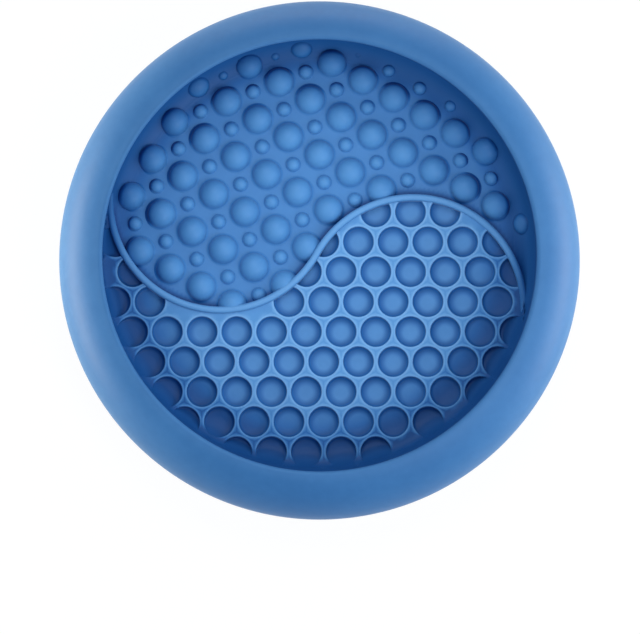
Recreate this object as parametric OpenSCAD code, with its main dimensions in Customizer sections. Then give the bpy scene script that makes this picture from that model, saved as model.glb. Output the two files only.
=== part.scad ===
// Round silicone lick bowl with a yin-yang floor of domes and honeycomb pockets,
// held to the table by seven push-in suction cups.

/* [Bowl] */
// Outside diameter at the widest point of the wall
bowl_d = 150; // [144:1:170]
// Radius of the wall's round section
bulge_r = 15.5; // [14.5:0.1:17]
// Width of the rim from its outside to the mouth
rim_w = 12.8; // [11:0.1:14]
// Rounding of the lip at the mouth
lip_r = 1; // [0.6:0.1:1.5]
// How far the inner wall leans outwards below the lip
undercut = 0.6; // [0.2:0.1:1]
// Radius of the soft corner between the inner wall and the floor
corner_r = 8.8; // [6:0.1:9.5]
// Width of the flat ring that stands on the table
foot_w = 7.5; // [5:0.1:7.8]
// Radius of the corner between the foot ring and the underside of the floor
recess_r = 2.5; // [1:0.1:4]

/* [Floor] */
// Height of the floor above the table
floor_z = 15; // [14:0.1:16.5]
// Thickness of the floor
floor_t = 3; // [2.4:0.1:4]

/* [Divider] */
// How far the two ends of the S-shaped rib run into the wall
divider_sink = 0.8; // [0.2:0.1:2]
// Turn of the S about the bowl's axis, in degrees
divider_turn = -29.2; // [-45:0.1:-15]
// Offset of the middle of the S from the bowl's axis, along X
divider_x = -0.8; // [-1.5:0.1:1.5]
// Offset of the middle of the S from the bowl's axis, along Y
divider_y = 1.5; // [-1.5:0.1:1.5]
// Width of the rib
rib_w = 2; // [1.4:0.1:2.6]
// Height of the rib above the floor
rib_h = 4.2; // [3.6:0.1:5]
// Rounding of the rib's two top edges
rib_edge_r = 0.6; // [0.2:0.1:0.6]

/* [Honeycomb] */
// Distance between the centres of two pockets
cell_pitch = 10; // [9.4:0.1:12]
// Diameter of a pocket
cell_d = 8.8; // [7:0.1:9.2]
// Depth of a pocket, from the top of the web to the floor
web_h = 3.2; // [2.4:0.1:3.6]
// Nearest that a pocket's centre comes to the wall
cell_margin = 1.6; // [0.8:0.1:4]
// Place of one pocket's centre, along X
cell_x = -3.8; // [-6:0.1:6]
// Place of one pocket's centre, along Y
cell_y = -3.7; // [-6:0.1:6]

/* [Domes] */
// Distance between two large domes along a row
dome_pitch = 10.3; // [9.6:0.1:12]
// Distance between two rows of large domes
dome_row_pitch = 12.55; // [11.5:0.05:14]
// Diameter of a large dome
dome_d = 8.2; // [6.5:0.1:8.6]
// Diameter of a small dome
bead_d = 4; // [2.5:0.1:4.6]
// Turn of the rows of domes, in degrees
dome_turn = -30; // [-45:1:-15]
// Place of one large dome's centre, along X
dome_x = 0; // [-5:0.1:5]
// Place of one large dome's centre, along Y
dome_y = 30.5; // [26:0.1:34]

/* [Suction cups] */
// Diameter of a cup where it meets the table
cup_d = 28; // [22:0.5:30]
// Thickness of a cup's edge
cup_edge_t = 0.8; // [0.5:0.1:1.2]
// Depth of the hollow in the middle of a cup
cup_hollow_h = 3.2; // [2:0.1:3.6]
// Width of the rubbed-flat sealing edge of a cup
cup_seal_w = 1; // [0.5:0.1:1.5]
// Diameter of the shoulder that a cup stands against
shoulder_d = 12; // [10:0.1:14]
// Height of the shoulder
shoulder_h = 1.5; // [1:0.1:2]
// Gap between the outer cups and the foot ring
cup_clear = 2; // [0.5:0.1:4]
// Diameter of a cup's neck
neck_d = 6; // [4.5:0.1:7]
// Length of the neck, which is the thickness of silicone that the head holds on to
neck_l = 2; // [1.5:0.1:2.4]
// Diameter of the mushroom head
head_d = 9.5; // [8:0.1:11]
// Height of the mushroom head
head_h = 3.5; // [2.8:0.1:4]
// Diameter of the head's blunt tip
head_tip_d = 5; // [3.5:0.1:6.5]
// Diameter of the boss that holds a head
boss_d = 16; // [14:0.1:18]
// Height of the boss below the floor
boss_h = 5.5; // [4.8:0.1:6]
// Clearance all round between a cup's stem and its socket
stem_gap = 0.1; // [0.05:0.01:0.2]

/* [Hidden] */
$fn = 96;

// Overrun of every cut and of every piece that is sunk into the wall
over = 1;
// How far beyond the divider's centre line a pocket's centre may lie before the pocket is left out
cell_reach = 0.5;
// Number of cups on the ring round the centre cup
ring_cups = 6;
silicone_color = [0.33, 0.58, 0.84];

// Places worked out from the sizes above
rim_r = bowl_d / 2 - bulge_r;
mouth_r = bowl_d / 2 - rim_w;
cavity_r = mouth_r + undercut;
foot_r = rim_r - foot_w;
ceiling_z = floor_z - floor_t;
shoulder_z = ceiling_z - boss_h;
cup_ring_r = foot_r - cup_d / 2 - cup_clear;
row_pitch = cell_pitch * sqrt(3) / 2;
// The S is made of two half circles that touch a circle just inside the wall
lobe_r = (cavity_r + divider_sink) / 2;
lobe_x = lobe_r * cos(divider_turn);
lobe_y = lobe_r * sin(divider_turn);
divider_mid = [divider_x, divider_y];
lobe_a = divider_mid - [lobe_x, lobe_y];
lobe_b = divider_mid + [lobe_x, lobe_y];

// The lip is a small circle that touches the inside of the wall's round section
lip_c = [mouth_r + lip_r, bulge_r + sqrt(pow(bulge_r - lip_r, 2) - pow(mouth_r + lip_r - rim_r, 2))];
corner_c = [cavity_r - corner_r, floor_z + corner_r];
// The inner wall is the straight line that touches the soft corner and the lip from opposite sides
lean_d = lip_c - corner_c;
lean = atan2(lean_d.y, lean_d.x) - acos((corner_r + lip_r) / norm(lean_d));
lean_n = [cos(lean), sin(lean)];
mouth_n = (lip_c - [rim_r, bulge_r]) / norm(lip_c - [rim_r, bulge_r]);
mouth_top = lip_c + mouth_n * (lip_r + over);
crest_z = 2 * bulge_r + over;

// Distance of a point from the divider's centre line, positive on the honeycomb side
function divider_side(p) =
    cross([lobe_x, lobe_y], p - divider_mid) < 0 ? norm(p - lobe_a) - lobe_r : lobe_r - norm(p - lobe_b);

// Centres of the pockets: a triangular grid, kept where it lies in the honeycomb half
cell_rows = ceil(cavity_r / row_pitch) + 1;
cell_columns = ceil(cavity_r / cell_pitch) + 2;
cells = [
    for (j = [-cell_rows:cell_rows], i = [-cell_columns:cell_columns])
        let (p = [cell_x + cell_pitch * (i + abs(j % 2) / 2), cell_y + row_pitch * j])
        if (norm(p) < cavity_r - cell_margin && divider_side(p) > -cell_reach) p
];

// Centres of the domes: a rectangular grid, with the small domes in the middle of its fields
dome_u = [cos(dome_turn), sin(dome_turn)];
dome_v = [-sin(dome_turn), cos(dome_turn)];
dome_steps = ceil((cavity_r + abs(dome_y)) / dome_pitch);
function dome_places(shift) = [
    for (j = [-dome_steps:dome_steps], i = [-dome_steps:dome_steps])
        let (p = [dome_x, dome_y] + dome_u * dome_pitch * (i + shift) + dome_v * dome_row_pitch * (j + shift))
        if (norm(p) < cavity_r && divider_side(p) < 0) p
];

// Half section of the cavity: floor, soft corner, leaning wall and mouth
module cavity_section() {
    translate([0, floor_z]) square([corner_c.x, lip_c.y]);
    translate(corner_c) circle(corner_r);
    polygon([
        [0, corner_c.y],
        corner_c,
        corner_c + lean_n * corner_r,
        lip_c - lean_n * lip_r,
        lip_c,
        mouth_top,
        [mouth_top.x, crest_z],
        [0, crest_z]
    ]);
}

// Half section of the recess under the floor
module recess_section() {
    translate([0, -over]) square([foot_r, ceiling_z - recess_r + over]);
    square([foot_r - recess_r, ceiling_z]);
    translate([foot_r - recess_r, ceiling_z - recess_r]) circle(recess_r);
}

// Half section of the bowl: round wall, foot, floor and lip
module bowl_section() {
    difference() {
        union() {
            translate([rim_r, bulge_r]) circle(bulge_r);
            translate([foot_r, 0]) square([foot_w, floor_z]);
            translate([0, ceiling_z]) square([rim_r, floor_t]);
        }
        cavity_section();
        recess_section();
    }
    translate(lip_c) circle(lip_r);
}

// Plan of the honeycomb half, bounded by the divider's centre line
module cell_half() {
    difference() {
        union() {
            intersection() {
                circle(cavity_r + over);
                translate(divider_mid) rotate(divider_turn)
                    translate([-bowl_d, -bowl_d]) square([2 * bowl_d, bowl_d]);
            }
            translate(lobe_b) circle(lobe_r);
        }
        translate(lobe_a) circle(lobe_r);
    }
}

module web() {
    translate([0, 0, floor_z - over]) linear_extrude(web_h + over) difference() {
        cell_half();
        for (p = cells) translate(p) circle(d = cell_d);
    }
}

module domes() {
    difference() {
        union() {
            for (p = dome_places(0)) translate([p.x, p.y, floor_z]) sphere(d = dome_d);
            for (p = dome_places(1 / 2)) translate([p.x, p.y, floor_z]) sphere(d = bead_d);
        }
        linear_extrude(floor_z + dome_d) cell_half();
        cylinder(h = floor_z - floor_t / 2, r = bowl_d);
    }
}

// One half circle of the rib, with a flat top between two rounded edges
module rib_arc() {
    rotate_extrude(angle = 180) translate([lobe_r, 0]) {
        translate([-rib_w / 2, -over]) square([rib_w, rib_h - rib_edge_r + over]);
        translate([rib_edge_r - rib_w / 2, 0]) square([rib_w - 2 * rib_edge_r, rib_h]);
        for (side = [-1, 1])
            translate([side * (rib_w / 2 - rib_edge_r), rib_h - rib_edge_r]) circle(rib_edge_r);
    }
}

module divider() {
    translate([lobe_a.x, lobe_a.y, floor_z]) rotate(divider_turn + 180) rib_arc();
    translate([lobe_b.x, lobe_b.y, floor_z]) rotate(divider_turn) rib_arc();
}

// Neck and mushroom head, with a gap all round where it is cut as a socket
module stem(gap) {
    translate([0, 0, shoulder_z - gap]) cylinder(h = neck_l + 2 * gap, d = neck_d + 2 * gap);
    translate([0, 0, shoulder_z + neck_l - gap]) cylinder(h = head_h / 2 + gap, d = head_d + 2 * gap);
    translate([0, 0, shoulder_z + neck_l + head_h / 2])
        cylinder(h = head_h / 2 + gap, d1 = head_d + 2 * gap, d2 = head_tip_d + 2 * gap);
}

function cup_place(i) = i == 0 ? [0, 0] : cup_ring_r * [cos(360 / ring_cups * i), sin(360 / ring_cups * i)];

module bosses() {
    for (i = [0:ring_cups]) translate(cup_place(i))
        translate([0, 0, shoulder_z]) cylinder(h = boss_h + floor_t / 2, d = boss_d);
}

module bowl() color(silicone_color) {
    difference() {
        union() {
            rotate_extrude() bowl_section();
            web();
            domes();
            divider();
            bosses();
        }
        for (i = [0:ring_cups]) translate(cup_place(i)) stem(stem_gap);
    }
}

// Radius of the sphere whose cap is the hollow of a cup
hollow_w = cup_d / 2 - cup_seal_w;
hollow_r = (pow(hollow_w, 2) + pow(cup_hollow_h, 2)) / (2 * cup_hollow_h);

module suction_cup(i) color(silicone_color) translate(cup_place(i)) {
    stem(0);
    difference() {
        rotate_extrude() polygon([
            [0, 0],
            [cup_d / 2, 0],
            [cup_d / 2, cup_edge_t],
            [shoulder_d / 2, shoulder_z - shoulder_h],
            [shoulder_d / 2, shoulder_z],
            [0, shoulder_z]
        ]);
        translate([0, 0, cup_hollow_h - hollow_r]) sphere(hollow_r);
    }
}

bowl();
suction_cup(0);  // suction_cup_centre
for (i = [1:ring_cups]) suction_cup(i);
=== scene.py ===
"""Looks of a round silicone lick bowl: a fat rounded wall, a floor of domes and honeycomb pockets
that an S-shaped rib divides, and push-in suction cups underneath."""

import math

import bmesh
import bpy
import numpy as np
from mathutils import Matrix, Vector


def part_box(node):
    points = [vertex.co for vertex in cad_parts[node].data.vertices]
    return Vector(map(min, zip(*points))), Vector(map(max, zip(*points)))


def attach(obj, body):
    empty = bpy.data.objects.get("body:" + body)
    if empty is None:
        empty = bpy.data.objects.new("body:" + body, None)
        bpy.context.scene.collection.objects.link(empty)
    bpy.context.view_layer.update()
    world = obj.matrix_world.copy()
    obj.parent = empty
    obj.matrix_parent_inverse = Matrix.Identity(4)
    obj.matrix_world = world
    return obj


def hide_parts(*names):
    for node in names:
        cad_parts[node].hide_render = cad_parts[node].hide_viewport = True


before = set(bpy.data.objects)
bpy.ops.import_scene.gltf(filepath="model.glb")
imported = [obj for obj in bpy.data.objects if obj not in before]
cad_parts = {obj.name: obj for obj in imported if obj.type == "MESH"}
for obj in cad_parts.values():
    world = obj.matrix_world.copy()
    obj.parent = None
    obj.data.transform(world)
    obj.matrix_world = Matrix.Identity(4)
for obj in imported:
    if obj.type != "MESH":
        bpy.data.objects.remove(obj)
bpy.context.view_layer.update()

MM = 0.001
TURN = 2 * math.pi

# The wall, worked out from the frame's bowl
bowl_low, bowl_high = (np.array(corner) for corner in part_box("bowl"))
BOWL_R = (bowl_high[0] - bowl_low[0]) / 2
BULGE_R = 15.5 * MM
RIM_W = 12.8 * MM
LIP_R = 1.0 * MM
UNDERCUT = 0.6 * MM
CORNER_R = 8.8 * MM
FOOT_W = 7.5 * MM
FOOT_EDGE_R = 0.8 * MM
RECESS_R = 2.5 * MM
FLOOR_Z = 15.0 * MM
FLOOR_T = 3.0 * MM

RIM_R = BOWL_R - BULGE_R
MOUTH_R = BOWL_R - RIM_W
CAVITY_R = MOUTH_R + UNDERCUT
FOOT_R = RIM_R - FOOT_W
CEILING_Z = FLOOR_Z - FLOOR_T
# Where the round outside ends and the flat foot begins, in degrees from level
FOOT_START = -88
# How far a piece is sunk into the one that carries it
SINK = 0.8 * MM
# How far the thin end of a flare dips below the surface that it ends on
DIP = 0.02 * MM
# The floor and its soft corner lie a little off the lip's axis, and the inner wall leans to join
# them
FLOOR_MIDDLE = np.array([-0.8, 1.5]) * MM
LEAN_TOP_Z = 28.0 * MM
LEAN_LOW_Z = 20.0 * MM

# The S-shaped divider: two half circles that touch a circle just inside the wall
DIVIDER_SINK = 0.8 * MM
DIVIDER_TURN = math.radians(-29.2)
RIB_W = 2.0 * MM
RIB_H = 4.2 * MM
RIB_EDGE_R = 0.9 * MM
RIB_FOOT_R = 0.35 * MM
LOBE_R = (CAVITY_R + DIVIDER_SINK) / 2
LOBE_STEP = LOBE_R * np.array([math.cos(DIVIDER_TURN), math.sin(DIVIDER_TURN)])
LOBE_A = FLOOR_MIDDLE - LOBE_STEP
LOBE_B = FLOOR_MIDDLE + LOBE_STEP

# The honeycomb
CELL_PITCH = 10.0 * MM
CELL_ROW = CELL_PITCH * math.sqrt(3) / 2
CELL_R = 4.4 * MM
CELL_EDGE_R = 0.35 * MM
CELL_FOOT_R = 1.3 * MM
CELL_DRAFT = 0.1 * MM
CELL_DISH = 0.5 * MM
CELL_FLOOR = 0.12 * MM
WEB_H = 3.2 * MM
CELL_ORIGIN = np.array([-3.8, -3.7]) * MM
CELL_REACH = 0.5 * MM
CELL_MARGIN = 1.6 * MM
# How soon the web rounds into the soft corner
CORNER_BLEND = 1.2 * MM

# The domes, of which the small ones are called beads
DOME_PITCH = 10.3 * MM
DOME_ROW = 12.55 * MM
DOME_R = 4.1 * MM
BEAD_R = 2.0 * MM
DOME_FLARE_R = 0.9 * MM
BEAD_FLARE_R = 0.5 * MM
BEAD_CLEAR = 1.5 * MM
DOME_TURN = math.radians(-30)
DOME_ORIGIN = np.array([0.0, 30.5]) * MM

# The suction cups
CUP_R = 14.0 * MM
CUP_EDGE_T = 0.8 * MM
CUP_HOLLOW_H = 3.2 * MM
CUP_SEAL_W = 1.0 * MM
CUP_SAG = 0.5 * MM
SHOULDER_R = 6.0 * MM
SHOULDER_H = 1.5 * MM
CUP_CLEAR = 2.0 * MM
NECK_R = 3.0 * MM
NECK_L = 2.0 * MM
HEAD_R = 4.75 * MM
HEAD_H = 3.5 * MM
HEAD_TIP_R = 2.5 * MM
BOSS_R = 8.0 * MM
BOSS_H = 5.5 * MM
BOSS_FLARE_R = 0.8 * MM
STEM_GAP = 0.1 * MM
RING_CUPS = 6
SHOULDER_Z = CEILING_Z - BOSS_H
CUP_RING_R = FOOT_R - CUP_R - CUP_CLEAR

# The painted shading attribute paints shade into the colour, about 1 in the darkest corners, and a
# highlight below 0 on thin edges. First the distances from the wall at which it begins and is full
CORNER_SHADE = (13.5 * MM, 5.5 * MM)
WEB_SHADE = (18.0 * MM, 8.0 * MM)
DOME_SHADE = (22.0 * MM, 10.0 * MM)
RIB_END_SHADE = (9.0 * MM, 2.0 * MM)
# How far from the rib's foot it reaches, out and up
RIB_SHADE = 2.6 * MM
# Then the heights between which it fades below the lip, and where the lip's own begins
LIP_SHADE = (26.5 * MM, 29.6 * MM)
LIP_LOW_Z = 28.5 * MM
# How far on both sides of the divider the two halves' corners blend
HALVES_BLEND = 5.0 * MM
# Then its values: how much shade or highlight each part has painted on
FLOOR_PAINTED_SHADE = 0.16
CORNER_PAINTED_SHADE = 0.66
WEB_CORNER_PAINTED_SHADE = 0.8
LIP_PAINTED_HIGHLIGHT = 0.12
DOME_FOOT_PAINTED_SHADE = 0.22
DOME_CORNER_PAINTED_SHADE = 0.76
DOME_SIDE_PAINTED_SHADE = 0.25
DOME_PAINTED_HIGHLIGHT = 0.08
BEAD_PAINTED_HIGHLIGHT = 0.22
POCKET_PAINTED_SHADE = 0.58
CELL_EDGE_PAINTED_HIGHLIGHT = 0.42
RIB_FOOT_PAINTED_SHADE = 0.9
RIB_END_PAINTED_SHADE = 0.5
RIB_PAINTED_HIGHLIGHT = 0.16

# The photograph's frame: its size, the pixel of the bowl's axis at mid height, its scale and the
# angle of its view
PHOTO_W, PHOTO_H = 640, 634
AXIS_PX = (319.5, 259.8)
PX_PER_M = 3470.6
ELEVATION = math.radians(84.56)
CAMERA_FAR = 2.2
SENSOR_W = 36.0


def arc(centre, radius, start, end, steps):
    """Points at even angles on a circle about centre, from start to end in degrees."""
    angle = np.radians(np.linspace(start, end, steps))
    across, up = radius * np.cos(angle), radius * np.sin(angle)
    return np.stack([centre[0] + across, centre[1] + up], axis=1)


def rounded(corners, radii, steps=7):
    """The line through corners, where each inner corner is turned in an arc of its own radius.

    The arc touches both sides of its corner c at points a and b, and is the conic
    ((1-s)^2 a + 2 w s (1-s) c + s^2 b) / ((1-s)^2 + 2 w s (1-s) + s^2), with w the sine of half the
    corner's angle, which makes it a circle."""
    corners = np.asarray(corners, float)
    s = np.linspace(0, 1, steps)[:, None]
    parts = [corners[:1]]
    for before, corner, after, radius in zip(corners, corners[1:], corners[2:], radii):
        if radius == 0:
            parts.append(corner[None])
            continue
        back = (before - corner) / np.linalg.norm(before - corner)
        on = (after - corner) / np.linalg.norm(after - corner)
        half = math.acos(float(np.clip(back @ on, -1, 1))) / 2
        reach = radius / math.tan(half)
        a, b = corner + back * reach, corner + on * reach
        weight = 2 * math.sin(half) * s * (1 - s)
        total = (1 - s) ** 2 + weight + s ** 2
        parts.append(((1 - s) ** 2 * a + weight * corner + s ** 2 * b) / total)
    parts.append(corners[-1:])
    return np.concatenate(parts)


def spaced(line, most):
    """The line with even points added, so that none of its stretches is longer than most."""
    length = np.linalg.norm(np.diff(line, axis=0), axis=1)
    counts = np.maximum(1, np.ceil(length / most)).astype(int)
    start = np.repeat(np.arange(len(counts)), counts)
    first = np.repeat(np.cumsum(counts) - counts, counts)
    share = (np.arange(counts.sum()) - first) / counts[start]
    inner = line[start] + (line[start + 1] - line[start]) * share[:, None]
    return np.concatenate([inner, line[-1:]])


def revolved(profile, columns):
    """A profile of (radius, height) carried round the Z axis, in even turns."""
    angle = np.arange(columns) / columns * TURN
    radius, height = profile[:, :1], profile[:, 1:]
    level = height + 0 * angle
    return np.stack([radius * np.cos(angle), radius * np.sin(angle), level], axis=-1)


def grid_faces(rows, columns, wrap_rows=False, wrap_columns=True):
    """Corner numbers of the four-sided faces between neighbouring points of a grid."""
    last_row, last_column = rows - (not wrap_rows), columns - (not wrap_columns)
    i, j = np.meshgrid(np.arange(last_row), np.arange(last_column), indexing="ij")
    row, next_row = i * columns, (i + 1) % rows * columns
    next_j = (j + 1) % columns
    corners = [row + j, row + next_j, next_row + next_j, next_row + j]
    return np.stack(corners, axis=-1).reshape(-1, 4)


def copies(points, faces, places):
    """One shape repeated at places in the plane: points moved there, face numbers counted on."""
    shift = np.concatenate([places, np.zeros((len(places), 1))], axis=1)
    flat = points.reshape(-1, 3)
    moved = flat[None] + shift[:, None]
    numbers = faces[None] + (np.arange(len(places)) * len(flat))[:, None, None]
    return moved.reshape(-1, 3), numbers.reshape(-1, faces.shape[1])


def add_piece(name, points, faces, finish, weld=1e-7, bottom=None):
    """A closed, smooth piece from points and faces, without doubles and with its faces outwards.

    With a bottom height, the open edge of the surface is carried straight down to that height
    first. What is still open then is filled."""
    mesh = bpy.data.meshes.new(name)
    mesh.from_pydata(points.reshape(-1, 3).tolist(), [], faces.tolist())
    shape = bmesh.new()
    shape.from_mesh(mesh)
    bmesh.ops.remove_doubles(shape, verts=shape.verts, dist=weld)
    bmesh.ops.dissolve_degenerate(shape, edges=shape.edges, dist=weld)
    edge = [e for e in shape.edges if e.is_boundary]
    if edge and bottom is not None:
        skirt = bmesh.ops.extrude_edge_only(shape, edges=edge)["geom"]
        for corner in skirt:
            if isinstance(corner, bmesh.types.BMVert):
                corner.co.z = bottom
        edge = [e for e in shape.edges if e.is_boundary]
    if edge:
        bmesh.ops.holes_fill(shape, edges=edge, sides=0)
    bmesh.ops.recalc_face_normals(shape, faces=shape.faces)
    for face in shape.faces:
        face.smooth = True
    shape.to_mesh(mesh)
    shape.free()
    mesh.materials.append(finish)
    piece = bpy.data.objects.new(name, mesh)
    bpy.context.scene.collection.objects.link(piece)
    return piece


def stands_for(piece, node):
    """The piece rides on the one body and shows in place of the CAD node."""
    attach(piece, "root")
    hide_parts(node)


def divider_side(plane):
    """Distance of points from the divider's centre line, positive on the honeycomb side, and the
    way in which it grows.

    Before the middle of the S that is the distance outside lobe A's circle, after it the distance
    inside lobe B's, each along the circle's radius."""
    off = plane - FLOOR_MIDDLE
    in_a = (LOBE_STEP[0] * off[:, 1] - LOBE_STEP[1] * off[:, 0] < 0)[:, None]
    spoke = np.where(in_a, plane - LOBE_A, plane - LOBE_B)
    length = np.maximum(np.linalg.norm(spoke, axis=1, keepdims=True), 1e-9)
    sign = np.where(in_a, 1, -1)
    return ((length - LOBE_R) * sign)[:, 0], spoke / length * sign


def kept_to_side(points, side):
    """Points that lie beyond the divider's centre line, seen from side +1 or -1, moved onto it."""
    distance, way = divider_side(points[:, :2])
    over = np.minimum(distance * side, 0) * side
    moved = points.copy()
    moved[:, :2] -= way * over[:, None]
    return moved


def lattice(origin, along, across, shift=0.0):
    """Places origin + (i + shift) along + (j + shift) across that lie inside the cavity."""
    steps = np.arange(-20, 21)
    i, j = np.meshgrid(steps, steps, indexing="ij")
    places = origin + (i.reshape(-1, 1) + shift) * along + (j.reshape(-1, 1) + shift) * across
    return places[np.linalg.norm(places, axis=1) < CAVITY_R]


def lip_and_lean():
    """Centres of the lip's circle and of the soft corner's circle, and two angles in degrees.

    The lip touches the inside of the wall's round section, in the direction of the second angle.
    The inner wall is the straight line that touches the corner's circle and the lip's circle from
    opposite sides, and the first angle is that of its normal."""
    lip = np.array([MOUTH_R + LIP_R, 0.0])
    lip[1] = BULGE_R + math.sqrt((BULGE_R - LIP_R) ** 2 - (lip[0] - RIM_R) ** 2)
    corner = np.array([CAVITY_R - CORNER_R, FLOOR_Z + CORNER_R])
    between = lip - corner
    turn = math.atan2(between[1], between[0])
    lean = turn - math.acos((CORNER_R + LIP_R) / np.linalg.norm(between))
    outside = math.atan2(lip[1] - BULGE_R, lip[0] - RIM_R)
    return lip, corner, math.degrees(lean), math.degrees(outside)


def corner_height(plane):
    """Height of the floor and its soft corner at points in the plane: flat, then a quarter
    circle."""
    off = np.linalg.norm(plane - FLOOR_MIDDLE, axis=-1) - (CAVITY_R - CORNER_R)
    off = np.clip(off, 0, CORNER_R - SINK / 4)
    return FLOOR_Z + CORNER_R - np.sqrt(CORNER_R ** 2 - off ** 2)


def smooth_greater(a, b, blend):
    """The greater of a and b, rounded where they are less than blend apart: the rounding adds
    (blend - |a - b|)^2 / (4 blend)."""
    return np.maximum(a, b) + np.maximum(blend - np.abs(a - b), 0) ** 2 / (4 * blend)


def rise(value, start, end):
    """0 up to start, 1 from end on, and the smooth 3s^2 - 2s^3 between."""
    share = np.clip((value - start) / (end - start), 0, 1)
    return share ** 2 * (3 - 2 * share)


def near_wall(plane, shade=CORNER_SHADE):
    """How far out points in the plane lie: 0 up to the shade's first distance from the wall, 1 from
    its second on."""
    start, end = shade
    radius = np.linalg.norm(plane - FLOOR_MIDDLE, axis=-1)
    return rise(radius, CAVITY_R - start, CAVITY_R - end)


def near_rib(plane):
    """1 at the rib's foot and on the honeycomb side, 0 from the rib's shade on the dome side."""
    return 1 - rise(-divider_side(plane)[0], RIB_W / 2, RIB_W / 2 + RIB_SHADE)


def set_painted_shading(piece, painted_shading_of):
    """Gives every point of the piece its attribute of painted shade and painted highlight."""
    points = np.empty(3 * len(piece.data.vertices))
    piece.data.vertices.foreach_get("co", points)
    layer = piece.data.attributes.new("depth", "FLOAT", "POINT")
    layer.data.foreach_set("value", painted_shading_of(points.reshape(-1, 3)))


def wall_painted_shading(points):
    """Painted shade on the wall and floor, where shade falls: a little on the flat floor, most in
    the corner, at the inner wall's foot and at the rib's, none on the outside and underneath, and a
    painted highlight below 0 on the lip."""
    plane, height = points[:, :2], points[:, 2]
    radius = np.linalg.norm(plane, axis=1)
    inside = (height > FLOOR_Z - 1 * MM) & (radius < CAVITY_R + 2.5 * MM)
    under_lip = 1 - rise(height, *LIP_SHADE)
    # A painted highlight along the lip
    lip = (height > LIP_LOW_Z) * (1 - rise(radius, MOUTH_R + LIP_R, MOUTH_R + 4 * LIP_R))
    side = divider_side(plane)[0]
    web_share = rise(side, -HALVES_BLEND, HALVES_BLEND)
    # Painted shade in the soft corner, darker towards the wall, and at the rib's foot
    out = (1 - web_share) * CORNER_PAINTED_SHADE * near_wall(plane)
    out += web_share * WEB_CORNER_PAINTED_SHADE * near_wall(plane, WEB_SHADE)
    below_rib = 1 - rise(height, FLOOR_Z + 1.5 * MM, FLOOR_Z + RIB_H)
    corner = np.maximum(out, near_rib(plane) * (side < 0) * below_rib)
    return inside * np.maximum(FLOOR_PAINTED_SHADE, corner) * under_lip - LIP_PAINTED_HIGHLIGHT * lip


def bowl_wall(finish):
    """The wall, the plain floor and the underside: one closed section carried round the axis.

    From the axis the section runs along the floor, up the soft corner and the leaning inner wall,
    over the lip's circle, down the round outside, across the flat foot and along the recess back to
    the axis. Then the floor's top and the soft corner are moved to their own middle, by a share
    3s^2 - 2s^3 that grows down the inner wall."""
    lip, corner, lean, outside = lip_and_lean()
    normal = np.array([math.cos(math.radians(lean)), math.sin(math.radians(lean))])
    inside = np.concatenate([
        spaced(np.array([[0, FLOOR_Z], [corner[0], FLOOR_Z]]), 1 * MM)[:-1],
        arc(corner, CORNER_R, -90, lean, steps=30),
        spaced(np.array([corner + CORNER_R * normal, lip - LIP_R * normal]), 0.6 * MM)[1:-1],
        arc(lip, LIP_R, 180 + lean, outside, steps=14),
    ])
    outer = arc((RIM_R, BULGE_R), BULGE_R, outside, FOOT_START, steps=72)[1:]
    under = spaced(rounded(
        [
            [RIM_R, 0],
            [FOOT_R, 0],
            [FOOT_R, CEILING_Z],
            [0, CEILING_Z],
        ],
        [FOOT_EDGE_R, RECESS_R],
    ), 3 * MM)
    profile = np.concatenate([inside, outer, under])
    columns = 256
    points = revolved(profile, columns)
    share = rise(profile[:, 1], LEAN_TOP_Z, LEAN_LOW_Z)
    share[len(inside):] = 0
    points[..., :2] += share[:, None, None] * FLOOR_MIDDLE
    piece = add_piece("bowl_wall", points, grid_faces(len(profile), columns), finish)
    set_painted_shading(piece, wall_painted_shading)
    stands_for(piece, "bowl")


def dome_profile(radius, flare):
    """Section of a dome: a quarter circle from its top, a small flare that turns out onto the floor
    and dips just under it, and a flat sunk bottom."""
    reach = math.sqrt((radius + flare) ** 2 - flare ** 2)
    touch = math.degrees(math.atan2(flare, reach))
    return np.concatenate([
        arc((0, FLOOR_Z), radius, 90, touch, steps=14),
        arc((reach, FLOOR_Z + flare - DIP), flare, 180 + touch, 270, steps=6)[1:],
        [[reach, FLOOR_Z - SINK], [0, FLOOR_Z - SINK]],
    ])


def dome_painted_shading(radius, pale, places):
    """Painted shade on domes of that radius at places: most at the foot and, as a painted shadow,
    on the side that faces a near wall, and a painted highlight below 0 on the top. Heights and
    widths are shares of the dome's radius."""
    def painted_shading_of(points):
        plane = points[:, :2]
        above = (points[:, 2] - corner_height(plane)) / radius
        foot = 1 - rise(above, 0.0, 0.38)
        out = near_wall(plane)
        corner = np.maximum(DOME_CORNER_PAINTED_SHADE * out, near_rib(plane))
        depth = foot * np.maximum(DOME_FOOT_PAINTED_SHADE, corner) + (1 - foot) * DOME_SIDE_PAINTED_SHADE * out
        depth -= pale * rise(above, 0.4, 0.9)
        nearest = np.linalg.norm(plane[:, None] - places[None], axis=-1).argmin(axis=1)
        outward = plane / np.linalg.norm(plane, axis=1, keepdims=True)
        towards_wall = ((plane - places[nearest]) * outward).sum(axis=1) / radius
        # A painted shadow on each dome's side that faces a near wall
        facing = rise(towards_wall, 0.1, 0.85) * near_wall(plane, DOME_SHADE)
        return np.maximum(depth, facing * (1 - rise(above, 0.35, 0.85)))
    return painted_shading_of


def domes(name, finish, radius, flare, shift, clear, columns, pale):
    """Equal domes on a turned rectangular grid, each kept to its side of the divider's centre line.

    A dome whose centre is nearer to that line than clear is left out."""
    along = DOME_PITCH * np.array([math.cos(DOME_TURN), math.sin(DOME_TURN)])
    across = DOME_ROW * np.array([-math.sin(DOME_TURN), math.cos(DOME_TURN)])
    places = lattice(DOME_ORIGIN, along, across, shift)
    places = places[divider_side(places)[0] < -clear]
    profile = dome_profile(radius, flare)
    faces = grid_faces(len(profile), columns)
    points, faces = copies(revolved(profile, columns), faces, places)
    piece = add_piece(name, kept_to_side(points, -1), faces, finish)
    set_painted_shading(piece, dome_painted_shading(radius, pale, places))
    stands_for(piece, "bowl")


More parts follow.
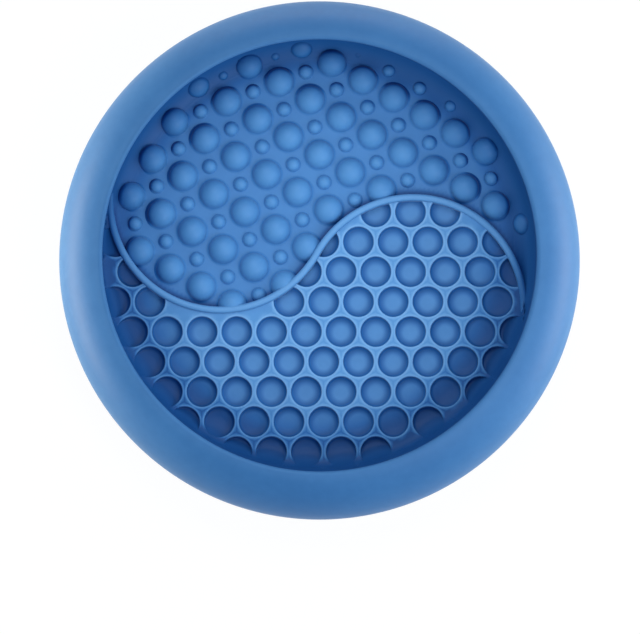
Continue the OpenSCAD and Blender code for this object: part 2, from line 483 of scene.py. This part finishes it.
def cell_patches(columns):
    """Points of one six-sided field of the honeycomb with its pocket, and of one without.

    Both run in rings from the field's edge to its centre. The edge is at the pitch's half over the
    cosine of the angle to the nearest side. In the pocket the rings follow a section: the land, a
    rounded edge, a steep wall, a soft foot and a shallow dish."""
    angle = np.arange(columns) / columns * TURN
    edge = CELL_PITCH / 2 / np.cos((angle + TURN / 12) % (TURN / 6) - TURN / 12)
    section = rounded(
        [
            [CELL_R + CELL_EDGE_R * 1.5, WEB_H],
            [CELL_R, WEB_H],
            [CELL_R - CELL_DRAFT, CELL_FLOOR + CELL_DISH],
            [CELL_R * 0.4, CELL_FLOOR + CELL_DISH * 0.16],
            [0, CELL_FLOOR],
        ],
        [CELL_EDGE_R, CELL_FOOT_R, CELL_R * 0.5],
        steps=8,
    )
    section = spaced(section, 0.5 * MM)
    section = section[section[:, 0] <= CELL_R + CELL_EDGE_R + 1e-9]
    section = np.concatenate([[[CELL_R + 1.6 * CELL_EDGE_R, WEB_H]], section])
    rings = np.concatenate([edge[None], np.repeat(section[:, :1], columns, axis=1)])
    levels = np.concatenate([[WEB_H], section[:, 1]])[:, None] + 0 * angle
    pocket = np.stack([rings * np.cos(angle), rings * np.sin(angle), levels + FLOOR_Z], axis=-1)
    shares = np.linspace(1, 0, 6)[:, None]
    blank = np.stack([shares * edge * np.cos(angle), shares * edge * np.sin(angle)], axis=-1)
    blank = np.concatenate([blank, np.full(blank.shape[:2] + (1,), WEB_H + FLOOR_Z)], axis=-1)
    return pocket, blank


def web_painted_shading(centres):
    """Painted shade on the web with pockets at centres: most at the foot and wall of a pocket and
    in the soft corner, and a painted highlight below 0 on the pockets' thin edges."""
    def painted_shading_of(points):
        plane = points[:, :2]
        apart = np.linalg.norm(plane[:, None] - centres[None], axis=-1).min(axis=1)
        out = near_wall(plane, WEB_SHADE)
        # A painted highlight on the pockets' edges, and painted shade in their feet, walls and the
        # corner
        edge = rise(apart, CELL_R - 0.1 * MM, CELL_R)
        edge *= 1 - rise(apart, CELL_R + 0.3 * MM, CELL_R + 0.9 * MM)
        edge *= points[:, 2] > FLOOR_Z + WEB_H - 0.8 * CELL_EDGE_R
        edge *= 1 - rise(corner_height(plane), FLOOR_Z + 1.2 * MM, FLOOR_Z + 2.6 * MM)
        pocket = rise(apart, 1.7 * MM, 3.7 * MM) * (apart < CELL_R + 0.3 * MM)
        painted_dark = np.maximum(POCKET_PAINTED_SHADE * pocket, WEB_CORNER_PAINTED_SHADE * out)
        return painted_dark * (1 - edge) - CELL_EDGE_PAINTED_HIGHLIGHT * edge * (1 - 0.6 * out)
    return painted_shading_of


def honeycomb_web(finish):
    """The raised web: six-sided fields side by side, with a pocket in each field whose centre lies
    in the honeycomb half, cut off at the divider's centre line. Near the wall the land and the
    pockets rise smoothly into the soft corner, and beyond that they lie just under it."""
    columns = 36
    steps = np.arange(-9, 10)
    i, j = np.meshgrid(steps, steps, indexing="ij")
    grid = np.stack([(i + (j % 2) / 2) * CELL_PITCH, j * CELL_ROW], axis=-1)
    centres = CELL_ORIGIN + grid.reshape(-1, 2)
    distance = divider_side(centres)[0]
    radius = np.linalg.norm(centres, axis=1)
    has_pocket = (distance > -CELL_REACH) & (radius < CAVITY_R - CELL_MARGIN)
    is_blank = ~has_pocket & (distance > -CELL_PITCH) & (radius < CAVITY_R + CELL_PITCH)
    pocket, blank = cell_patches(columns)
    points_a, faces_a = copies(pocket, grid_faces(len(pocket), columns), centres[has_pocket])
    points_b, faces_b = copies(blank, grid_faces(len(blank), columns), centres[is_blank])
    points = np.concatenate([points_a, points_b])
    faces = np.concatenate([faces_a, faces_b + len(points_a)])
    corner = corner_height(points[:, :2])
    sunk = rise(corner - points[:, 2], CORNER_BLEND, 2.5 * CORNER_BLEND)
    under = 2 * DIP + SINK / 2 * sunk
    points[:, 2] = smooth_greater(points[:, 2], corner - under, CORNER_BLEND)
    beyond = divider_side(points[:, :2])[0] <= 0
    outside = np.linalg.norm(points[:, :2], axis=1) > CAVITY_R - SINK
    faces = faces[~beyond[faces].all(axis=1) & ~outside[faces].all(axis=1)]
    points = kept_to_side(points, 1)
    piece = add_piece("honeycomb_web", points, faces, finish, bottom=FLOOR_Z - SINK)
    set_painted_shading(piece, web_painted_shading(centres[has_pocket]))
    stands_for(piece, "bowl")


def rib_painted_shading(points):
    """Painted shade on the rib: most at its foot, less at its ends, and a painted highlight below 0
    along the middle of its top."""
    above = points[:, 2] - FLOOR_Z
    foot = 1 - rise(above, 0, RIB_SHADE)
    top = rise(above, RIB_H - RIB_EDGE_R, RIB_H)
    out = near_wall(points[:, :2], RIB_END_SHADE)
    return np.maximum(RIB_FOOT_PAINTED_SHADE * foot, RIB_END_PAINTED_SHADE * out) - RIB_PAINTED_HIGHLIGHT * top


def divider_rib(finish):
    """The S-shaped rib: its section carried along the two half circles of the S.

    The section is a wall with rounded upper edges, and its foot flares out on the dome side."""
    half = RIB_W / 2
    section = rounded(
        [
            [-half - 2 * RIB_FOOT_R, -DIP],
            [-half, -DIP],
            [-half, RIB_H],
            [half, RIB_H],
            [half, -SINK],
            [-half - 2 * RIB_FOOT_R, -SINK],
        ],
        [RIB_FOOT_R, RIB_EDGE_R, RIB_EDGE_R, 0],
    )
    section = spaced(section, 0.3 * MM)
    steps = np.linspace(0, 1, 121)
    angle_a = DIVIDER_TURN + math.pi * (1 + steps)
    angle_b = DIVIDER_TURN + math.pi * (1 - steps[1:])
    spoke_a = np.stack([np.cos(angle_a), np.sin(angle_a)], axis=1)
    spoke_b = np.stack([np.cos(angle_b), np.sin(angle_b)], axis=1)
    path = np.concatenate([LOBE_A + LOBE_R * spoke_a, LOBE_B + LOBE_R * spoke_b])
    way = np.concatenate([spoke_a, -spoke_b])
    plane = path[None] + section[:, :1, None] * way[None]
    level = np.repeat(section[:, 1:, None] + FLOOR_Z, len(path), axis=1)
    points = np.concatenate([plane, level], axis=2)
    faces = grid_faces(len(section), len(path), wrap_rows=True, wrap_columns=False)
    piece = add_piece("divider_rib", points, faces, finish)
    set_painted_shading(piece, rib_painted_shading)
    stands_for(piece, "bowl")


def cup_places():
    """Centres of the cups: one on the axis, and the rest at even angles on a ring."""
    angle = np.arange(1, RING_CUPS + 1) / RING_CUPS * TURN
    ring = CUP_RING_R * np.stack([np.cos(angle), np.sin(angle)], axis=1)
    return np.concatenate([[[0.0, 0.0]], ring])


def stem_bosses(finish):
    """The bosses under the floor: a closed section with the socket for a cup's head, carried round,
    with a flare where the boss grows out of the floor."""
    gap = STEM_GAP
    head_z = SHOULDER_Z + NECK_L
    section = rounded(
        [
            [NECK_R + gap, head_z - gap],
            [NECK_R + gap, SHOULDER_Z],
            [BOSS_R, SHOULDER_Z],
            [BOSS_R, CEILING_Z + DIP],
            [BOSS_R + 2 * BOSS_FLARE_R, CEILING_Z + DIP],
            [BOSS_R + 2 * BOSS_FLARE_R, CEILING_Z + SINK],
            [HEAD_TIP_R + gap, CEILING_Z + SINK],
            [HEAD_TIP_R + gap, CEILING_Z + gap],
            [HEAD_R + gap, head_z + HEAD_H / 2],
            [HEAD_R + gap, head_z - gap],
        ],
        [0.3 * MM, 0.6 * MM, BOSS_FLARE_R, 0, 0, 0, 0, 0],
    )
    columns = 72
    faces = grid_faces(len(section), columns, wrap_rows=True)
    points, faces = copies(revolved(section, columns), faces, cup_places())
    piece = add_piece("stem_bosses", points, faces, finish)
    stands_for(piece, "bowl")


def cup_profile():
    """Section of a suction cup from the middle of its hollow, round its edge and up to its head's
    tip. The skirt sags a little below the straight line from its edge to the shoulder."""
    hollow_w = CUP_R - CUP_SEAL_W
    hollow_r = (hollow_w ** 2 + CUP_HOLLOW_H ** 2) / (2 * CUP_HOLLOW_H)
    end = math.degrees(math.asin(hollow_w / hollow_r))
    hollow = arc((0, CUP_HOLLOW_H - hollow_r), hollow_r, 90, 90 - end, steps=24)
    share = np.linspace(0, 1, 20)[:, None]
    edge = np.array([CUP_R, CUP_EDGE_T])
    root = np.array([SHOULDER_R, SHOULDER_Z - SHOULDER_H])
    skirt = edge + (root - edge) * share
    skirt[:, 1:] -= CUP_SAG * np.sin(share * math.pi)
    head_z = SHOULDER_Z + NECK_L
    stem = rounded(
        [
            skirt[-1],
            [SHOULDER_R, SHOULDER_Z],
            [NECK_R, SHOULDER_Z],
            [NECK_R, head_z],
            [HEAD_R, head_z],
            [HEAD_R, head_z + HEAD_H / 2],
            [HEAD_TIP_R, head_z + HEAD_H],
            [0, head_z + HEAD_H],
        ],
        [0.3 * MM, 0.3 * MM, 0.3 * MM, 0.4 * MM, 0.8 * MM, 0.8 * MM],
    )
    rim = rounded([[hollow_w, 0], [CUP_R, 0], skirt[0], skirt[1]], [0.25 * MM, 0.25 * MM])
    return np.concatenate([hollow[:-1], rim[:-1], skirt[1:-1], stem])


def suction_cups(finish):
    """The cups: one section carried round, moved under each boss."""
    profile = cup_profile()
    columns = 96
    points, faces = revolved(profile, columns), grid_faces(len(profile), columns)
    names = [f"suction_cup_{number}" for number in range(1, RING_CUPS + 1)]
    for name, place in zip(["suction_cup_centre"] + names, cup_places()):
        moved, numbers = copies(points, faces, place[None])
        piece = add_piece(f"{name}_moulded", moved, numbers, finish)
        stands_for(piece, name)


class Varying:
    """A number that varies over a surface. Arithmetic on it adds Math nodes to its material."""

    def __init__(self, recipe, socket):
        self.recipe = recipe
        self.socket = socket

    def joined(self, operation, first, second):
        node = self.recipe.node("ShaderNodeMath", {"operation": operation}, {0: first, 1: second})
        return Varying(self.recipe, node.outputs[0])

    def __add__(self, other):
        return self.joined("ADD", self, other)

    def __radd__(self, other):
        return self.joined("ADD", other, self)

    def __sub__(self, other):
        return self.joined("SUBTRACT", self, other)

    def __rsub__(self, other):
        return self.joined("SUBTRACT", other, self)

    def __mul__(self, other):
        return self.joined("MULTIPLY", self, other)

    def __rmul__(self, other):
        return self.joined("MULTIPLY", other, self)

    def __pow__(self, other):
        return self.joined("POWER", self, other)

    def most(self, other):
        return self.joined("MAXIMUM", self, other)


class Recipe:
    """A material under construction: one method adds every node."""

    def __init__(self, name):
        self.material = bpy.data.materials.new(name)
        self.material.use_nodes = True
        self.tree = self.material.node_tree
        self.tree.nodes.clear()

    def node(self, kind, settings=None, sockets=None):
        """A node of that kind: its settings are set first, then its sockets get values or links."""
        made = self.tree.nodes.new(kind)
        for name, value in (settings or {}).items():
            if name == "stops":
                ramp = made.color_ramp.elements
                while len(ramp) < len(value):
                    ramp.new(1.0)
                for stop, (place, colour) in zip(ramp, value):
                    stop.position = place
                    stop.color = colour
            else:
                setattr(made, name, value)
        for name, value in (sockets or {}).items():
            socket = made.inputs[name]
            if isinstance(value, Varying):
                self.tree.links.new(value.socket, socket)
            elif isinstance(value, bpy.types.NodeSocket):
                self.tree.links.new(value, socket)
            else:
                socket.default_value = value
        return made

    def number(self, kind, settings, sockets, output=0):
        """A node's output as a number that can be reckoned with."""
        return Varying(self, self.node(kind, settings, sockets).outputs[output])

    def noise(self, place, scale, detail, roughness):
        """Smooth noise between 0 and 1, with about scale clouds to the metre."""
        return self.number("ShaderNodeTexNoise", None, {
            "Vector": place,
            "Scale": scale,
            "Detail": detail,
            "Roughness": roughness,
        })

    def finished(self, shader):
        self.node("ShaderNodeOutputMaterial", None, {"Surface": shader})
        return self.material


def linear(red, green, blue):
    """A colour given in the usual 0 to 255 steps, in the linear steps that a shader takes."""
    steps = np.array([red, green, blue]) / 255
    values = np.where(steps <= 0.04045, steps / 12.92, ((steps + 0.055) / 1.055) ** 2.4)
    return (*values.tolist(), 1.0)


SILICONE = linear(72, 131, 190)
SILICONE_DEEP = linear(68, 126, 185)
SILICONE_PALE = linear(76, 136, 195)
SILICONE_SHEEN = linear(222, 234, 246)
# The same silicone with painted shade, half and full, for corners, feet and hollows, and with a
# painted highlight for thin edges and tops
SILICONE_HALF_SHADED = linear(36, 103, 170)
SILICONE_SHADED = linear(0, 60, 126)
SILICONE_HIGHLIT = linear(134, 182, 228)
# The parting ridge: how wide it is on each side of the wall's widest line, and how high
RIDGE_W = 0.12 * MM
RIDGE_H = 0.03 * MM
# How much rougher the gloss is in a full cloud than in none
GLOSS_RANGE = 0.12


def satin_silicone(name, roughness, grain):
    """Moulded silicone: a soft satin surface with the fine matt grain of a blasted mould.

    Clouds a few centimetres wide shift the colour and the gloss a little, as uneven cure and
    handling do. Two sizes of grain lift the surface by hundredths of a millimetre, and a faint
    ridge, 1 - (height off the line / width)^2, follows the widest line of the wall, where the two
    halves of the mould met. Where the pieces' painted shading attribute is above 0, painted shade
    takes the colour to the half shaded one up to 0.5 and on to the fully shaded one up to 1. Below
    0 a painted highlight takes it to the highlit one."""
    recipe = Recipe(name)
    place = recipe.node("ShaderNodeTexCoord").outputs["Object"]
    clouds = recipe.noise(place, scale=38.0, detail=3.0, roughness=0.55)
    blotches = recipe.noise(place, scale=420.0, detail=2.0, roughness=0.5)
    fine = recipe.noise(place, scale=5200.0, detail=2.0, roughness=0.6)
    coarse = recipe.noise(place, scale=1500.0, detail=1.0, roughness=0.5)
    apart = recipe.node("ShaderNodeSeparateXYZ", None, {"Vector": place})
    height = Varying(recipe, apart.outputs["Z"])
    off_line = ((height - BULGE_R) * (1 / RIDGE_W)) ** 2.0
    ridge = (1.0 - off_line).most(0.0)
    tone = clouds * 0.7 + blotches * 0.3
    colour = recipe.node(
        "ShaderNodeValToRGB",
        {"stops": [(0.32, SILICONE_DEEP), (0.5, SILICONE), (0.68, SILICONE_PALE)]},
        {"Fac": tone},
    ).outputs["Color"]
    # Painted shade above 0 and painted highlight below 0, read from the pieces' attribute
    depth = recipe.number("ShaderNodeAttribute", {"attribute_name": "depth"}, None, "Fac")
    shares = (
        ((depth * 2.0).most(0.0), SILICONE_HALF_SHADED),
        ((depth * 2.0 - 1.0).most(0.0), SILICONE_SHADED),
        ((0.0 - depth).most(0.0), SILICONE_HIGHLIT),
    )
    for share, other in shares:
        mix = recipe.node("ShaderNodeMix", {"data_type": "RGBA"}, {0: share, 6: colour, 7: other})
        colour = mix.outputs[2]
    relief = fine * grain + coarse * (2 * grain) + ridge * RIDGE_H
    bump = recipe.node(
        "ShaderNodeBump", None, {"Strength": 1.0, "Distance": 1.0, "Height": relief}
    )
    shader = recipe.node("ShaderNodeBsdfPrincipled", None, {
        "Base Color": colour,
        "Roughness": roughness - GLOSS_RANGE / 2 + GLOSS_RANGE * tone,
        "Normal": bump.outputs["Normal"],
        "IOR": 1.42,
        "Specular IOR Level": 0.4,
        "Subsurface Weight": 0.06,
        "Subsurface Radius": (0.6, 0.8, 1.0),
        "Subsurface Scale": 1.5 * MM,
        "Sheen Weight": 0.15,
        "Sheen Roughness": 0.32,
        "Sheen Tint": SILICONE_SHEEN,
    })
    return recipe.finished(shader.outputs["BSDF"])


TABLE_HALF = 3.0
TABLE_WHITE = (0.82, 0.82, 0.82, 1)
PLAIN_WHITE = (1, 1, 1, 1)
# The table's own light where the camera sees it, and the share of it that shows over soft shadows
TABLE_GLOW = 1.06
TABLE_GLOW_SHARE = 0.9


def pale_floor():
    """The table's finish: matt white, and to the camera and to reflections nearly plain white, so
    that only soft shadows show on it."""
    recipe = Recipe("pale_floor")
    path = recipe.node("ShaderNodeLightPath")
    seen = [Varying(recipe, path.outputs[name]) for name in ("Is Camera Ray", "Is Glossy Ray")]
    matt = recipe.node("ShaderNodeBsdfDiffuse", None, {"Color": TABLE_WHITE}).outputs[0]
    glow = {"Color": PLAIN_WHITE, "Strength": TABLE_GLOW}
    white = recipe.node("ShaderNodeEmission", None, glow).outputs[0]
    share = seen[0].most(seen[1]) * TABLE_GLOW_SHARE
    mixed = recipe.node("ShaderNodeMixShader", None, {"Fac": share, 1: matt, 2: white})
    return recipe.finished(mixed.outputs[0])


def table_top():
    """The plain floor under the bowl: one wide flat square."""
    half = TABLE_HALF
    corners = np.array([[-half, -half, 0], [half, -half, 0], [half, half, 0], [-half, half, 0]])
    mesh = bpy.data.meshes.new("table_top")
    mesh.from_pydata(corners.tolist(), [], [(0, 1, 2, 3)])
    mesh.materials.append(pale_floor())
    table = bpy.data.objects.new("table_top", mesh)
    bpy.context.scene.collection.objects.link(table)


# The light of the world in its three colours, and its strength
AIR_COLOUR = (0.64, 0.94, 1.16, 1)
AIR_STRENGTH = 0.34


def studio_air():
    """The room's light: an even pale world, plain white to the camera."""
    world = bpy.data.worlds.new("studio_air")
    world.use_nodes = True
    tree = world.node_tree
    tree.nodes.clear()
    path = tree.nodes.new("ShaderNodeLightPath")
    around = tree.nodes.new("ShaderNodeBackground")
    around.inputs["Color"].default_value = AIR_COLOUR
    around.inputs["Strength"].default_value = AIR_STRENGTH
    white = tree.nodes.new("ShaderNodeBackground")
    white.inputs["Color"].default_value = PLAIN_WHITE
    mixed = tree.nodes.new("ShaderNodeMixShader")
    out = tree.nodes.new("ShaderNodeOutputWorld")
    tree.links.new(path.outputs["Is Camera Ray"], mixed.inputs["Fac"])
    tree.links.new(around.outputs[0], mixed.inputs[1])
    tree.links.new(white.outputs[0], mixed.inputs[2])
    tree.links.new(mixed.outputs[0], out.inputs["Surface"])
    bpy.context.scene.world = world


def lamp_at(name, lamp, place, aim):
    """Hangs a lamp at place and turns it to aim. The camera doesn't see it."""
    holder = bpy.data.objects.new(name, lamp)
    holder.location = place
    holder.rotation_euler = (Vector(aim) - Vector(place)).to_track_quat("-Z", "Y").to_euler()
    holder.visible_camera = False
    bpy.context.scene.collection.objects.link(holder)
    return holder


STRIP_WHITE = (1.12, 0.88, 0.69)
PANEL_WHITE = (1.04, 0.93, 0.81)
SOFTBOX_WHITE = (0.86, 0.95, 1.04)
STRIP_FAR = 0.24
STRIP_H = 0.028
STRIP_L = 0.22
# Each strip's name, its direction from the bowl and its power in watts
STRIPS = (
    ("left_strip", -1, 0, 0.45),
    ("right_strip", 1, 0, 0.28),
    ("back_strip", 0, 1, 0.12),
)
# Each softbox's name, its place and aim, its width and height, and its power
SOFTBOXES = (
    ("right_softbox", (0.5, 0.0, 0.2), (0, 0, 0.02), 0.4, 0.15, 0.35),
    ("top_softbox", (0.0, 0.35, 0.85), (0, 0, 0), 0.3, 0.3, 1.5),
    ("front_softbox", (0.36, -0.36, 0.6), (0, 0, 0), 0.3, 0.3, 1.35),
)
PANEL_PLACE = (-0.0008, 0.0015, 0.036)
PANEL_R = 0.046
PANEL_POWER = 0.0185


def softbox(name, place, aim, width, height, power, colour=SOFTBOX_WHITE):
    """A soft oblong lamp."""
    lamp = bpy.data.lights.new(name, "AREA")
    lamp.shape = "RECTANGLE"
    lamp.size = width
    lamp.size_y = height
    lamp.color = colour
    lamp.energy = power
    lamp_at(name, lamp, place, aim)


def mouth_panel():
    """A round lamp that hangs flat just above the mouth and lights the floor like an open sky."""
    lamp = bpy.data.lights.new("inner_panel", "AREA")
    lamp.shape = "DISK"
    lamp.size = 2 * PANEL_R
    lamp.color = PANEL_WHITE
    lamp.energy = PANEL_POWER
    straight_down = (PANEL_PLACE[0], PANEL_PLACE[1], 0)
    lamp_at("inner_panel", lamp, PANEL_PLACE, straight_down).visible_glossy = False


def studio_lights():
    """Strips low at both sides and behind, which light the outside of the wall and not the floor
    inside, three softboxes from the right, from above and from the front, and the round panel,
    which lights the floor more than the wall."""
    for name, x, y, power in STRIPS:
        place, aim = (x * STRIP_FAR, y * STRIP_FAR, STRIP_H / 2), (0, 0, STRIP_H / 2)
        softbox(name, place, aim, STRIP_L, STRIP_H, power, STRIP_WHITE)
    for settings in SOFTBOXES:
        softbox(*settings)
    mouth_panel()


def photo_camera():
    """A long-lens camera at the photograph's angle, moved so that the bowl's axis lands on its
    pixel."""
    tilt = math.pi / 2 - ELEVATION
    up = Vector((0, math.cos(tilt), math.sin(tilt)))
    away = Vector((0, -math.sin(tilt), math.cos(tilt)))
    right = Vector((1, 0, 0))
    off_right = (AXIS_PX[0] - PHOTO_W / 2) / PX_PER_M
    off_up = (PHOTO_H / 2 - AXIS_PX[1]) / PX_PER_M
    middle = Vector((0, 0, BULGE_R)) - right * off_right - up * off_up
    data = bpy.data.cameras.new("photo_camera")
    data.sensor_width = SENSOR_W
    data.lens = SENSOR_W * CAMERA_FAR / (PHOTO_W / PX_PER_M)
    data.clip_start = 0.05
    data.clip_end = 20
    camera = bpy.data.objects.new("photo_camera", data)
    camera.location = middle + away * CAMERA_FAR
    camera.rotation_euler = (tilt, 0, 0)
    bpy.context.scene.collection.objects.link(camera)
    bpy.context.scene.camera = camera


bowl_finish = satin_silicone("bowl_silicone_satin", 0.5, 0.004 * MM)
cup_finish = satin_silicone("cup_silicone_smooth", 0.3, 0.001 * MM)

photo_camera()
bowl_wall(bowl_finish)
domes(
    "large_domes", bowl_finish, DOME_R, DOME_FLARE_R,
    shift=0.0, clear=0.0, columns=48, pale=DOME_PAINTED_HIGHLIGHT,
)
domes(
    "small_domes", bowl_finish, BEAD_R, BEAD_FLARE_R,
    shift=0.5, clear=BEAD_CLEAR, columns=32, pale=BEAD_PAINTED_HIGHLIGHT,
)
honeycomb_web(bowl_finish)
divider_rib(bowl_finish)
stem_bosses(bowl_finish)
suction_cups(cup_finish)
table_top()
studio_air()
studio_lights()
bpy.context.scene.view_settings.view_transform = "Standard"
